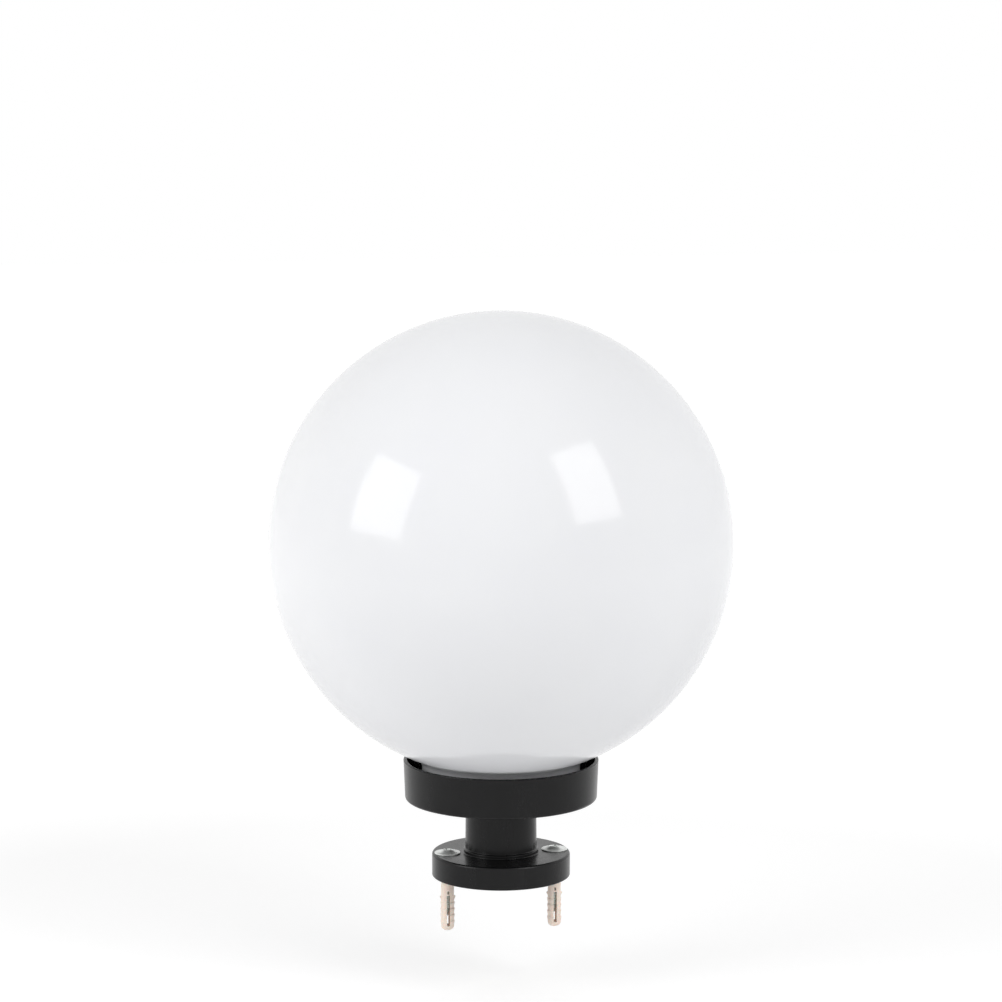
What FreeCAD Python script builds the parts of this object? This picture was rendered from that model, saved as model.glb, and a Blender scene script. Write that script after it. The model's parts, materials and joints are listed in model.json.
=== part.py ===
import FreeCAD, Part
import math
import os

# Globe light for a garden wall or pillar: an opal ball on a short moulded post.
# Lengths are in millimetres. The origin is at the middle of the foot flange's underside, where the
# light stands on the masonry. +Z is up and +X runs through the two fixing holes. Everything is
# drawn seated: the ball in its dish, the fitter on the tube, the screws and wall plugs home.

# Opal ball
GLOBE_DIAMETER = 250.0
GLOBE_WALL = 2.0
SHOULDER = 4.2  # how much wider than the waist the neck is where it leaves the ball
SHOULDER_DROP = 6.4  # from there down to the waist
LIP_PROUD = 2.85  # the lip's bead stands this much outside the waist
LIP_DROP = 8.6  # from the waist down to the middle of the bead
LIP_BEAD_RADIUS = 3.6
LIP_CHAMFER = 0.7

# Lamp holder: porcelain round a threaded metal shell
SHELL_BORE = 26.5
SHELL_SHEET = 0.4
SHELL_LENGTH = 17.0
SHELL_GAP = 0.1
SHELL_LIP = 1.2  # the lip at the shell's mouth, beyond its outside
SHELL_STEP = 0.4  # the shell's plain foot is this much narrower than its threaded stretch
HOLDER_WALL = 7.4  # porcelain round the shell
HOLDER_RIM_WALL = 3.0
HOLDER_RIM_SLOPE = 0.4
RIM_RECESS = 8.5
WELL_FLOOR = 3.0
BASE_CAVITY = 5.1
BASE_SKIRT = 2.4
PORCELAIN_ROUND = 0.8
HOLDER_OFFSET = -2.2  # the holder stands off the cup's axis, which leaves room for the wires
CONTACT_INSET = 3.65  # rivets and holder screws lie this far inside the shell's bore
RIVET_DIAMETER = 2.4
RIVET_HEAD = 4.4
RIVET_CAP = 0.8
HOLDER_SCREW = 3.0
HOLDER_SCREW_HEAD = 5.4
HOLDER_SCREW_CAP = 1.5
HOLDER_SCREW_WALL = 1.8
CONTACT_SHEET = 0.5
CONTACT_WIDTH = 6.0
CONTACT_RISE = 4.4
CONTACT_CLEARANCE = 0.8  # from the contact's tip up to where the thread starts
TERMINAL_WIDTH = 8.0
TERMINAL_DEPTH = 4.0
TERMINAL_GAP = 0.6
TERMINAL_SET_BACK = 0.3
TERMINAL_SCREW = 3.0
TERMINAL_HEAD = 4.4
TERMINAL_CAP = 1.4

# Cup, bracket and cable inlet
WIRING_GAP = 8.75
CUP_WALL = 1.5
CUP_FLOOR = 2.0
CUP_DEPTH = 24.8
CUP_CLEARANCE = 0.1
CUP_SUNK = 10.0  # how deep the cup sits in the sleeve
CUP_SCREW = 3.5
CUP_SCREW_THREAD = 0.4  # its depth
CUP_SCREW_LENGTH = 25.0
CUP_SCREW_POINT = 2.0
CUP_SCREW_HEAD = 6.0
CUP_SCREW_CAP = 2.1
CUP_SCREW_ROOM = 1.2  # clear round its head
BRACKET_SHEET = 1.2
BRACKET_INSET = 6.15  # from the porcelain's outside to the disc's edge
BRACKET_EAR = 9.0
BRACKET_GAP = 0.4
GROMMET_BORE = 6.0
GROMMET_WALL = 1.5
GROMMET_FLANGE = 1.3

# Post: tube and flange in one moulding
TUBE_TOP_DIAMETER = 37.5
TUBE_TAPER = 0.65  # growth of the tube's radius from its top to its foot
TUBE_WALL = 1.5
TUBE_HEIGHT = 62.2  # above the flange
BEAD_PROUD = 0.85
BEAD_HEIGHT = 1.9
BEAD_SLOPE = 0.5  # from the bead's edge up to the tube
BEAD_ROUND = 0.5
FLANGE_THICKNESS = 12.6
FLANGE_PLATE = 3.0
FLANGE_RIM_WALL = 2.5
FLANGE_ROUND = 1.3
HOLE_DIAMETER = 7.6
HOLE_TO_EDGE = 8.1
HEAD_GAP = 2.05  # between a fixing screw's head and the bead
BOSS_WALL = 2.4
RIB = 1.6
RIB_RECESS = 1.5  # ribs and bosses stop short of the masonry
MOULDED_EDGE = 0.5  # rounding of the small moulded edges

# Fitter: dish, sleeve and socket in one moulding
TUBE_INSERTION = 32.5
SOCKET_GAP = 0.3
SOCKET_WALL = 2.2
STOP_THICKNESS = 2.0
STOP_WIDTH = 5.0
SLEEVE_WALL = 2.1
SLEEVE_DRAFT = 0.3
NECK_GAP = 7.1  # between the sleeve and the inside of the ball's neck
LIP_GAP = 5.2  # between the ball's lip and the dish wall
DISH_WALL = 2.0
DISH_DRAFT = 0.9
DISH_HEIGHT = 21.8
DISH_FLOOR = 3.0
DISH_ROUND = 1.6
SEAL_THICKNESS = 2.0
SEAL_OVERHANG = 1.0

# Lock screw that grips the tube
LOCK_SCREW_ANGLE = -16.0  # degrees about +Z from +X
LOCK_SCREW_DROP = 4.0  # below the tube's top
LOCK_SCREW_DIAMETER = 4.0
LOCK_HEAD_DIAMETER = 6.2
LOCK_HEAD_LENGTH = 3.4
LOCK_SLOT = 0.9
LOCK_TIP_GAP = 0.3
LOCK_RUNNING_GAP = 0.05
LOCK_BOSS_DIAMETER = 10.0
LOCK_BOSS_PROUD = 1.1
LOCK_WASHER_DIAMETER = 9.4
LOCK_WASHER_THICKNESS = 1.2
INSERT_DIAMETER = 6.6
INSERT_LENGTH = 7.0

# Fixing screws and wall plugs
SCREW_DIAMETER = 3.85
SCREW_LENGTH = 35.2  # under the head
SCREW_HEAD_DIAMETER = 14.0
SCREW_HEAD_HEIGHT = 2.4
SCREW_HEAD_RIM = 0.5
SCREW_HEAD_SLOPE = 0.5  # from the rim up to the foot of the dome
SCREW_DOME_DIAMETER = 9.0
SCREW_NECK = 2.4
SCREW_POINT = 6.0
PLUG_LENGTH = 30.0
PLUG_DIAMETER = 7.1
PLUG_COLLAR_DIAMETER = 8.8
PLUG_COLLAR_HEIGHT = 1.2
PLUG_BORE_GAP = 0.22
PLUG_SLIT = 1.7
PLUG_SLIT_TOP = 10.3
PLUG_SLIT_BOTTOM = 27.4
PLUG_WING_SPAN = 8.6
PLUG_WING_TOP = 10.6
PLUG_WING_LENGTH = 3.4
PLUG_WING_SLOPE = 0.8
PLUG_NOTCH_WIDTH = 1.0
PLUG_NOTCH_LENGTH = 1.7
PLUG_BRIDGE = 0.7  # between the notch and the slit
PLUG_BARBS = 4
PLUG_BARB_PITCH = 3.4
PLUG_BARB_PROUD = 0.35
PLUG_BARB_SLOPE = 0.6
PLUG_BARB_GAP = 0.5
PLUG_NOSE_ROUND = 2.4

# Radii and heights that follow from the sizes above
TUBE_TOP = FLANGE_THICKNESS + TUBE_HEIGHT
TUBE_TOP_RADIUS = TUBE_TOP_DIAMETER / 2
TUBE_FOOT_RADIUS = TUBE_TOP_RADIUS + TUBE_TAPER
TUBE_BORE_RADIUS = TUBE_TOP_RADIUS - TUBE_WALL
BEAD_RADIUS = TUBE_FOOT_RADIUS + BEAD_PROUD
HOLE_X = BEAD_RADIUS + HEAD_GAP + SCREW_HEAD_DIAMETER / 2
FLANGE_RADIUS = HOLE_X + HOLE_TO_EDGE

SOCKET_RADIUS = TUBE_TOP_RADIUS + SOCKET_GAP
SHELL_RADIUS = SHELL_BORE / 2 + SHELL_SHEET
WELL_RADIUS = SHELL_RADIUS + SHELL_GAP
CONTACT_PITCH = SHELL_BORE / 2 - CONTACT_INSET
HOLDER_RADIUS = WELL_RADIUS + HOLDER_WALL
CUP_SCREW_Y = max(
    SOCKET_RADIUS + SOCKET_WALL + CUP_SCREW / 2 + BOSS_WALL,
    HOLDER_RADIUS + CUP_SCREW_HEAD / 2 + CUP_SCREW_ROOM,
)
CUP_INNER = max(
    HOLDER_RADIUS + WIRING_GAP,
    CUP_SCREW_Y + CUP_SCREW_HEAD / 2 + CUP_SCREW_ROOM,
)
CUP_RADIUS = CUP_INNER + CUP_WALL
SLEEVE_INNER = CUP_RADIUS + CUP_CLEARANCE
SLEEVE_RADIUS = SLEEVE_INNER + SLEEVE_WALL
NECK_INNER = SLEEVE_RADIUS + NECK_GAP
WAIST_RADIUS = NECK_INNER + GLOBE_WALL
LIP_RADIUS = WAIST_RADIUS + LIP_PROUD
DISH_INNER = LIP_RADIUS + LIP_GAP
DISH_RADIUS = DISH_INNER + DISH_WALL

FITTER_BOTTOM = TUBE_TOP - TUBE_INSERTION
DISH_FLOOR_TOP = FITTER_BOTTOM + DISH_FLOOR
CUP_BOTTOM = TUBE_TOP + STOP_THICKNESS
SLEEVE_TOP = CUP_BOTTOM + CUP_SUNK
CUP_FLOOR_TOP = CUP_BOTTOM + CUP_FLOOR
CUP_RIM = CUP_FLOOR_TOP + CUP_DEPTH
HOLDER_BOTTOM = CUP_FLOOR_TOP + BRACKET_SHEET
WELL_UNDERSIDE = HOLDER_BOTTOM + BASE_CAVITY
WELL_BOTTOM = WELL_UNDERSIDE + WELL_FLOOR
THREAD_START = WELL_BOTTOM + CONTACT_RISE + 2 * CONTACT_SHEET + CONTACT_CLEARANCE
SHELL_TOP = WELL_BOTTOM + SHELL_LENGTH
HOLDER_TOP = SHELL_TOP + RIM_RECESS
GLOBE_FOOT = DISH_FLOOR_TOP + SEAL_THICKNESS

LOCK_Z = TUBE_TOP - LOCK_SCREW_DROP
LOCK_TIP = TUBE_TOP_RADIUS + LOCK_TIP_GAP
LOCK_SEAT = SLEEVE_RADIUS + LOCK_BOSS_PROUD
LOCK_HEAD_START = LOCK_SEAT + LOCK_WASHER_THICKNESS

BITE = 0.5  # how far a rib or boss is carried into the wall that it grows from
BEYOND = 1.0  # how far a cutting tool runs past what it cuts
UP = FreeCAD.Vector(0, 0, 1)


def at(x, y, z):
    return FreeCAD.Vector(x, y, z)


def tube_radius(height):
    """Outside radius of the tapered tube at a height above the masonry."""
    return TUBE_TOP_RADIUS + TUBE_TAPER * (TUBE_TOP - height) / TUBE_HEIGHT


def outline(corners):
    """Closed edges in the XZ half-plane through (radius, height, rounding) corners.

    A corner with a rounding becomes an arc that is tangent to both of its sides.
    """
    points = [at(r, 0, z) for r, z, _ in corners]
    arcs, starts, ends = [], [], []
    for i, (_, _, rounding) in enumerate(corners):
        here = points[i]
        back = (points[i - 1] - here).normalize()
        ahead = (points[(i + 1) % len(points)] - here).normalize()
        half = back.getAngle(ahead) / 2
        reach = rounding / math.tan(half)
        starts.append(here + back * reach)
        ends.append(here + ahead * reach)
        if rounding:
            inward = (back + ahead).normalize()
            middle = here + inward * (rounding / math.sin(half) - rounding)
            arcs.append(Part.Arc(starts[i], middle, ends[i]).toShape())
    sides = []
    for i, end in enumerate(ends):
        start = starts[(i + 1) % len(starts)]
        if end.distanceToPoint(start) > 1e-6:
            sides.append(Part.LineSegment(end, start).toShape())
    return arcs + sides


def turned(edges):
    """The solid that an outline in the XZ half-plane makes when it is turned about Z."""
    wire = Part.Wire(Part.__sortEdges__(edges))
    return Part.Face(wire).revolve(at(0, 0, 0), UP, 360)


def disc(radius, low, high, x=0.0, y=0.0):
    return Part.makeCylinder(radius, high - low, at(x, y, low))


def block(x, y, z):
    """A box between the two ends given for each axis."""
    return Part.makeBox(x[1] - x[0], y[1] - y[0], z[1] - z[0], at(x[0], y[0], z[0]))


def turned_by(shape, degrees):
    """A copy turned about the light's own axis."""
    copy = shape.copy()
    copy.rotate(at(0, 0, 0), UP, degrees)
    return copy


def radial_rod(radius, start, end):
    """A rod on the lock screw's axis, from one distance from the light's axis to another."""
    rod = Part.makeCylinder(radius, end - start, at(start, 0, LOCK_Z), at(1, 0, 0))
    return turned_by(rod, LOCK_SCREW_ANGLE)


def radial_turned(corners):
    """A turned piece on the lock screw's axis, from (distance, radius) corners."""
    points = [at(x, 0, LOCK_Z + r) for x, r in corners]
    face = Part.Face(Part.makePolygon(points + points[:1]))
    return turned_by(face.revolve(at(0, 0, LOCK_Z), at(1, 0, 0), 360), LOCK_SCREW_ANGLE)


def one_solid(shape):
    """The single solid of a fused or cut shape."""
    return shape.removeSplitter().Solids[0]


# The opal ball


def globe():
    """Blown ball with a waisted neck and a beaded lip, open below."""
    outer, inner = GLOBE_DIAMETER / 2, GLOBE_DIAMETER / 2 - GLOBE_WALL
    shoulder = WAIST_RADIUS + SHOULDER
    shoulder_z = -math.sqrt(outer**2 - shoulder**2)
    waist_z = shoulder_z - SHOULDER_DROP
    bead = at(LIP_RADIUS - LIP_BEAD_RADIUS, 0, waist_z - LIP_DROP)
    foot_z = bead.z - LIP_BEAD_RADIUS

    # a small hollow arc under the ball, then a long one that runs out on to the bead
    hollow = (SHOULDER**2 + SHOULDER_DROP**2) / (2 * SHOULDER)
    sweep = math.asin(SHOULDER_DROP / hollow) / 2
    hollow_middle = at(
        WAIST_RADIUS + hollow * (1 - math.cos(sweep)), 0, waist_z + hollow * math.sin(sweep)
    )
    reach = (LIP_DROP**2 + LIP_PROUD**2) / (2 * LIP_PROUD)
    long_radius = reach - LIP_BEAD_RADIUS
    turn = math.asin(LIP_DROP / reach)
    long_middle = at(
        WAIST_RADIUS + long_radius * (1 - math.cos(turn / 2)),
        0,
        waist_z - long_radius * math.sin(turn / 2),
    )
    on_bead = at(
        bead.x + LIP_BEAD_RADIUS * math.cos(turn), 0, bead.z + LIP_BEAD_RADIUS * math.sin(turn)
    )
    low = (turn - math.pi / 2) / 2
    bead_middle = at(
        bead.x + LIP_BEAD_RADIUS * math.cos(low), 0, bead.z + LIP_BEAD_RADIUS * math.sin(low)
    )
    top, waist = at(0, 0, outer), at(WAIST_RADIUS, 0, waist_z)
    start = at(shoulder, 0, shoulder_z)
    foot = at(bead.x, 0, foot_z)
    foot_in = at(NECK_INNER + LIP_CHAMFER, 0, foot_z)
    wall_low = at(NECK_INNER, 0, foot_z + LIP_CHAMFER)
    wall_high = at(NECK_INNER, 0, -math.sqrt(inner**2 - NECK_INNER**2))
    edges = [
        Part.Arc(top, at(outer, 0, 0), start).toShape(),
        Part.Arc(start, hollow_middle, waist).toShape(),
        Part.Arc(waist, long_middle, on_bead).toShape(),
        Part.Arc(on_bead, bead_middle, foot).toShape(),
        Part.LineSegment(foot, foot_in).toShape(),
        Part.LineSegment(foot_in, wall_low).toShape(),
        Part.LineSegment(wall_low, wall_high).toShape(),
        Part.Arc(wall_high, at(inner, 0, 0), at(0, 0, inner)).toShape(),
        Part.LineSegment(at(0, 0, inner), top).toShape(),
    ]
    ball = turned(edges)
    ball.translate(at(0, 0, GLOBE_FOOT - foot_z))
    return ball


def globe_seal():
    """Flat rubber ring that the ball's lip stands on."""
    outer, inner = LIP_RADIUS + SEAL_OVERHANG, NECK_INNER - SEAL_OVERHANG
    low, high = DISH_FLOOR_TOP, GLOBE_FOOT
    edge = SEAL_THICKNESS / 4
    corners = [(inner, low, 0), (outer, low, 0), (outer, high, edge), (inner, high, edge)]
    return turned(outline(corners))


# The fitter


def fitter_shell():
    """Dish, sleeve and tube socket as one turned wall."""
    low, floor = FITTER_BOTTOM, DISH_FLOOR_TOP
    dish_top = FITTER_BOTTOM + DISH_HEIGHT
    dish = turned(
        outline(
            [
                (tube_radius(low) + SOCKET_GAP, low, 0),
                (DISH_RADIUS - DISH_DRAFT, low, DISH_ROUND),
                (DISH_RADIUS, dish_top, MOULDED_EDGE),
                (DISH_INNER, dish_top, MOULDED_EDGE),
                (DISH_INNER - DISH_DRAFT, floor, DISH_ROUND),
                (tube_radius(floor) + SOCKET_GAP, floor, 0),
            ]
        )
    )
    sleeve = turned(
        outline(
            [
                (SLEEVE_INNER, low + BITE, 0),
                (SLEEVE_RADIUS + SLEEVE_DRAFT, low + BITE, 0),
                (SLEEVE_RADIUS, SLEEVE_TOP, SLEEVE_WALL * 0.45),
                (SLEEVE_INNER, SLEEVE_TOP, 0),
            ]
        )
    )
    socket = turned(
        outline(
            [
                (tube_radius(low) + SOCKET_GAP, low, 0),
                (tube_radius(low) + SOCKET_GAP + SOCKET_WALL, low, 0),
                (SOCKET_RADIUS + SOCKET_WALL, CUP_BOTTOM, 0),
                (SOCKET_RADIUS - STOP_WIDTH, CUP_BOTTOM, 0),
                (SOCKET_RADIUS - STOP_WIDTH, TUBE_TOP, 0),
                (SOCKET_RADIUS, TUBE_TOP, 0),
            ]
        )
    )
    return dish.fuse([sleeve, socket])


def fitter_ribs():
    """Webs that join the socket to the sleeve; two of them carry the screw columns."""
    web = block(
        (SOCKET_RADIUS + SOCKET_WALL - BITE, SLEEVE_INNER + BITE),
        (-RIB / 2, RIB / 2),
        (DISH_FLOOR_TOP - BITE, CUP_BOTTOM),
    )
    return [turned_by(web, angle) for angle in (45, 90, 135, 225, 270, 315)]


def fitter_body():
    """Moulded dish with the sleeve that carries the cup and the socket that takes the tube."""
    body = fitter_shell().fuse(fitter_ribs())
    column_radius, pilot = CUP_SCREW / 2 + BOSS_WALL, CUP_SCREW / 2 - CUP_SCREW_THREAD
    columns = [
        disc(column_radius, DISH_FLOOR_TOP - BITE, CUP_BOTTOM, 0, side * CUP_SCREW_Y)
        for side in (-1, 1)
    ]
    lock_boss = radial_rod(LOCK_BOSS_DIAMETER / 2, SOCKET_RADIUS + BITE, LOCK_SEAT)
    body = body.fuse(columns + [lock_boss])
    pilots = [
        disc(pilot, DISH_FLOOR_TOP + BOSS_WALL, CUP_BOTTOM + BEYOND, 0, side * CUP_SCREW_Y)
        for side in (-1, 1)
    ]
    lock_hole = radial_rod(
        LOCK_SCREW_DIAMETER / 2 + LOCK_RUNNING_GAP, TUBE_TOP_RADIUS - BEYOND, LOCK_SEAT + BEYOND
    )
    insert_seat = radial_rod(INSERT_DIAMETER / 2, *insert_ends())
    return one_solid(body.cut(pilots + [lock_hole, insert_seat]))


def insert_ends():
    """Inner and outer end of the threaded insert, midway between socket and sleeve."""
    middle = (SOCKET_RADIUS + SOCKET_WALL + SLEEVE_INNER) / 2
    return middle - INSERT_LENGTH / 2, middle + INSERT_LENGTH / 2


def lock_insert():
    """Brass bush moulded into the lock boss."""
    start, end = insert_ends()
    bush = radial_rod(INSERT_DIAMETER / 2, start, end)
    bore = radial_rod(LOCK_SCREW_DIAMETER / 2 + LOCK_RUNNING_GAP, start - BEYOND, end + BEYOND)
    return bush.cut(bore)


def lock_screw():
    """Slotted brass screw whose tip presses on the tube."""
    shank, head = LOCK_SCREW_DIAMETER / 2, LOCK_HEAD_DIAMETER / 2
    start, end = LOCK_HEAD_START, LOCK_HEAD_START + LOCK_HEAD_LENGTH
    edge = LOCK_HEAD_LENGTH / 8
    screw = radial_turned(
        [
            (LOCK_TIP, 0),
            (LOCK_TIP, shank * 0.6),
            (LOCK_TIP + shank * 0.4, shank),
            (start, shank),
            (start, head),
            (end - edge, head),
            (end, head - edge),
            (end, 0),
        ]
    )
    slot = block(
        (end - LOCK_HEAD_LENGTH / 3, end + BEYOND),
        (-LOCK_SLOT / 2, LOCK_SLOT / 2),
        (LOCK_Z - head - BEYOND, LOCK_Z + head + BEYOND),
    )
    return screw.cut(turned_by(slot, LOCK_SCREW_ANGLE))


def lock_washer():
    """Black rubber washer under the lock screw's head."""
    washer = radial_rod(LOCK_WASHER_DIAMETER / 2, LOCK_SEAT, LOCK_HEAD_START)
    bore = LOCK_SCREW_DIAMETER / 2 + LOCK_RUNNING_GAP
    return washer.cut(radial_rod(bore, LOCK_SEAT - BEYOND, LOCK_HEAD_START + BEYOND))


# Cup, bracket and cable inlet


def holder_cup():
    """Cup that stands in the sleeve and shields the lamp holder's wiring."""
    cup = turned(
        outline(
            [
                (0, CUP_BOTTOM, 0),
                (CUP_RADIUS, CUP_BOTTOM, CUP_WALL * 0.6),
                (CUP_RADIUS, CUP_RIM, CUP_WALL * 0.3),
                (CUP_INNER, CUP_RIM, CUP_WALL * 0.3),
                (CUP_INNER, CUP_FLOOR_TOP, CUP_WALL * 0.6),
                (0, CUP_FLOOR_TOP, 0),
            ]
        )
    )
    inlet = disc(GROMMET_BORE / 2 + GROMMET_WALL, CUP_BOTTOM - BEYOND, CUP_FLOOR_TOP + BEYOND)
    return cup.cut([inlet] + cup_screw_holes())


def cup_screw_holes():
    return [
        disc(CUP_SCREW / 2, CUP_BOTTOM - BEYOND, HOLDER_BOTTOM + BEYOND, 0, side * CUP_SCREW_Y)
        for side in (-1, 1)
    ]


def cable_grommet():
    """Rubber inlet in the cup's floor, for the cable that comes up the post."""
    neck = GROMMET_BORE / 2 + GROMMET_WALL
    flange = neck + GROMMET_FLANGE
    return turned(
        outline(
            [
                (GROMMET_BORE / 2, CUP_BOTTOM - GROMMET_FLANGE, GROMMET_WALL / 4),
                (flange, CUP_BOTTOM - GROMMET_FLANGE, GROMMET_WALL / 3),
                (flange, CUP_BOTTOM, 0),
                (neck, CUP_BOTTOM, 0),
                (neck, CUP_FLOOR_TOP, 0),
                (flange, CUP_FLOOR_TOP, 0),
                (flange, CUP_FLOOR_TOP + GROMMET_FLANGE, GROMMET_WALL / 3),
                (GROMMET_BORE / 2, CUP_FLOOR_TOP + GROMMET_FLANGE, GROMMET_WALL / 4),
            ]
        )
    )


def holder_bracket():
    """Steel disc with two ears that carries the porcelain."""
    low, high = CUP_FLOOR_TOP, HOLDER_BOTTOM
    half = BRACKET_EAR / 2
    ears = [
        block((-half, half), (-CUP_SCREW_Y, CUP_SCREW_Y), (low, high)),
        disc(half, low, high, 0, -CUP_SCREW_Y),
        disc(half, low, high, 0, CUP_SCREW_Y),
    ]
    plate = disc(HOLDER_RADIUS - BRACKET_INSET, low, high).fuse(ears)
    inlet_radius = GROMMET_BORE / 2 + GROMMET_WALL + GROMMET_FLANGE + BRACKET_GAP
    inlet = disc(inlet_radius, low - BEYOND, high + BEYOND)
    inside_cup = disc(CUP_INNER - CUP_WALL, low, high)
    tapped = [
        disc(HOLDER_SCREW / 2, low - BEYOND, high + BEYOND, HOLDER_OFFSET, side * CONTACT_PITCH)
        for side in (-1, 1)
    ]
    return one_solid(plate.common(inside_cup).cut([inlet] + cup_screw_holes() + tapped))


def cup_screws():
    """Two screws through the bracket's ears and the cup into the fitter."""
    head, shank = CUP_SCREW_HEAD / 2, CUP_SCREW / 2 - CUP_SCREW_THREAD
    seat = HOLDER_BOTTOM
    tip, top = seat - CUP_SCREW_LENGTH, seat + CUP_SCREW_CAP
    screws = []
    for side in (-1, 1):
        screw = turned(
            outline(
                [
                    (0, tip, 0),
                    (shank, tip + CUP_SCREW_POINT, 0),
                    (shank, seat, 0),
                    (head, seat, 0),
                    (head, top, CUP_SCREW_CAP / 2),
                    (0, top, 0),
                ]
            )
        )
        screw.translate(at(0, side * CUP_SCREW_Y, 0))
        screws.append(screw)
    return Part.makeCompound(screws)


# Lamp holder, drawn on its own axis and then moved to its place in the cup


def in_place(shape):
    shape.translate(at(HOLDER_OFFSET, 0, 0))
    return shape


def lamp_holder():
    """Glazed porcelain body: rim recess, threaded well, and a hollow base for the terminals."""
    cavity, rim_inner = HOLDER_RADIUS - BASE_SKIRT, HOLDER_RADIUS - HOLDER_RIM_WALL
    body = turned(
        outline(
            [
                (0, WELL_UNDERSIDE, 0),
                (cavity, WELL_UNDERSIDE, PORCELAIN_ROUND),
                (cavity, HOLDER_BOTTOM, 0),
                (HOLDER_RADIUS, HOLDER_BOTTOM, PORCELAIN_ROUND),
                (HOLDER_RADIUS, HOLDER_TOP, HOLDER_RIM_WALL * 0.48),
                (rim_inner, HOLDER_TOP, HOLDER_RIM_WALL * 0.48),
                (rim_inner - HOLDER_RIM_SLOPE, SHELL_TOP, PORCELAIN_ROUND),
                (WELL_RADIUS, SHELL_TOP, 0),
                (WELL_RADIUS, WELL_BOTTOM, 0),
                (0, WELL_BOTTOM, 0),
            ]
        )
    )
    post_radius = HOLDER_SCREW / 2 + HOLDER_SCREW_WALL
    posts = [
        disc(post_radius, HOLDER_BOTTOM, WELL_UNDERSIDE + BITE, 0, side * CONTACT_PITCH)
        for side in (-1, 1)
    ]
    body = body.fuse(posts)
    cuts = [
        disc(HOLDER_SCREW / 2, HOLDER_BOTTOM - BEYOND, WELL_BOTTOM + BEYOND, 0, side * CONTACT_PITCH)
        for side in (-1, 1)
    ]
    cuts += [
        disc(RIVET_DIAMETER / 2, WELL_UNDERSIDE - BEYOND, WELL_BOTTOM + BEYOND, side * CONTACT_PITCH, 0)
        for side in (-1, 1)
    ]
    cuts += [
        block(
            side_ends(side, cavity - TERMINAL_DEPTH, HOLDER_RADIUS + BEYOND),
            (-TERMINAL_WIDTH / 2 - TERMINAL_GAP, TERMINAL_WIDTH / 2 + TERMINAL_GAP),
            (HOLDER_BOTTOM - BEYOND, WELL_UNDERSIDE),
        )
        for side in (-1, 1)
    ]
    return in_place(one_solid(body.cut(cuts)))


def side_ends(side, near, far):
    """Ordered X ends of a span that runs from near to far on one side of the axis."""
    return (near, far) if side > 0 else (-far, -near)


def screw_shell():
    """Thin shell: a plain narrower foot, the threaded stretch, and a lip on the porcelain."""
    bore = SHELL_BORE / 2
    foot, mouth = SHELL_RADIUS - SHELL_STEP, SHELL_TOP + SHELL_SHEET
    shell = turned(
        outline(
            [
                (bore - SHELL_STEP, WELL_BOTTOM, 0),
                (foot, WELL_BOTTOM, 0),
                (foot, THREAD_START - SHELL_SHEET, 0),
                (SHELL_RADIUS, THREAD_START - SHELL_SHEET, 0),
                (SHELL_RADIUS, SHELL_TOP, 0),
                (SHELL_RADIUS + SHELL_LIP, SHELL_TOP, 0),
                (SHELL_RADIUS + SHELL_LIP, mouth, 0),
                (bore, mouth, 0),
                (bore, THREAD_START, 0),
                (bore - SHELL_STEP, THREAD_START, 0),
            ]
        )
    )
    tab = block(
        (CONTACT_PITCH - CONTACT_WIDTH / 2, bore),
        (-CONTACT_WIDTH / 2, CONTACT_WIDTH / 2),
        (WELL_BOTTOM, WELL_BOTTOM + CONTACT_SHEET),
    )
    tab = tab.common(disc(foot, WELL_BOTTOM, SHELL_TOP))
    hole = disc(RIVET_DIAMETER / 2, WELL_BOTTOM - BEYOND, WELL_BOTTOM + BEYOND, CONTACT_PITCH, 0)
    return in_place(one_solid(shell.fuse(tab).cut(hole)))


def centre_contact():
    """Springy brass leaf that rises from its rivet to the middle of the well."""
    low, sheet = WELL_BOTTOM, CONTACT_SHEET
    high = low + CONTACT_RISE
    foot_start, foot_end = -CONTACT_PITCH - RIVET_DIAMETER, -CONTACT_PITCH + CONTACT_WIDTH / 2
    tip_start, tip_end = -CONTACT_WIDTH / 3, CONTACT_WIDTH / 2
    corners = [
        (foot_start, low, 0),
        (foot_end, low, sheet),
        (tip_start, high, sheet),
        (tip_end, high, 0),
        (tip_end, high + sheet, 0),
        (tip_start - sheet / 2, high + sheet, sheet * 2),
        (foot_end - sheet / 2, low + sheet, sheet * 2),
        (foot_start, low + sheet, 0),
    ]
    side = Part.Face(Part.Wire(Part.__sortEdges__(outline(corners))))
    leaf = side.extrude(at(0, CONTACT_WIDTH, 0))
    leaf.translate(at(0, -CONTACT_WIDTH / 2, 0))
    hole = disc(RIVET_DIAMETER / 2, low - BEYOND, low + BEYOND, -CONTACT_PITCH, 0)
    button = disc(CONTACT_WIDTH / 3, high + sheet, high + 2 * sheet)
    return in_place(one_solid(leaf.cut(hole).fuse(button)))


def contact_rivets():
    """Rivets that hold the leaf and the shell's tab to the straps below the well's floor."""
    above, below = WELL_BOTTOM + CONTACT_SHEET, WELL_UNDERSIDE - CONTACT_SHEET
    shank, head, cap = RIVET_DIAMETER / 2, RIVET_HEAD / 2, RIVET_CAP
    rivets = []
    for side in (-1, 1):
        x = side * CONTACT_PITCH
        rivet = disc(shank, below, above, x).fuse(
            [disc(head, above, above + cap, x), disc(head, below - cap, below, x)]
        )
        rivets.append(in_place(one_solid(rivet)))
    return Part.makeCompound(rivets)


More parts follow.
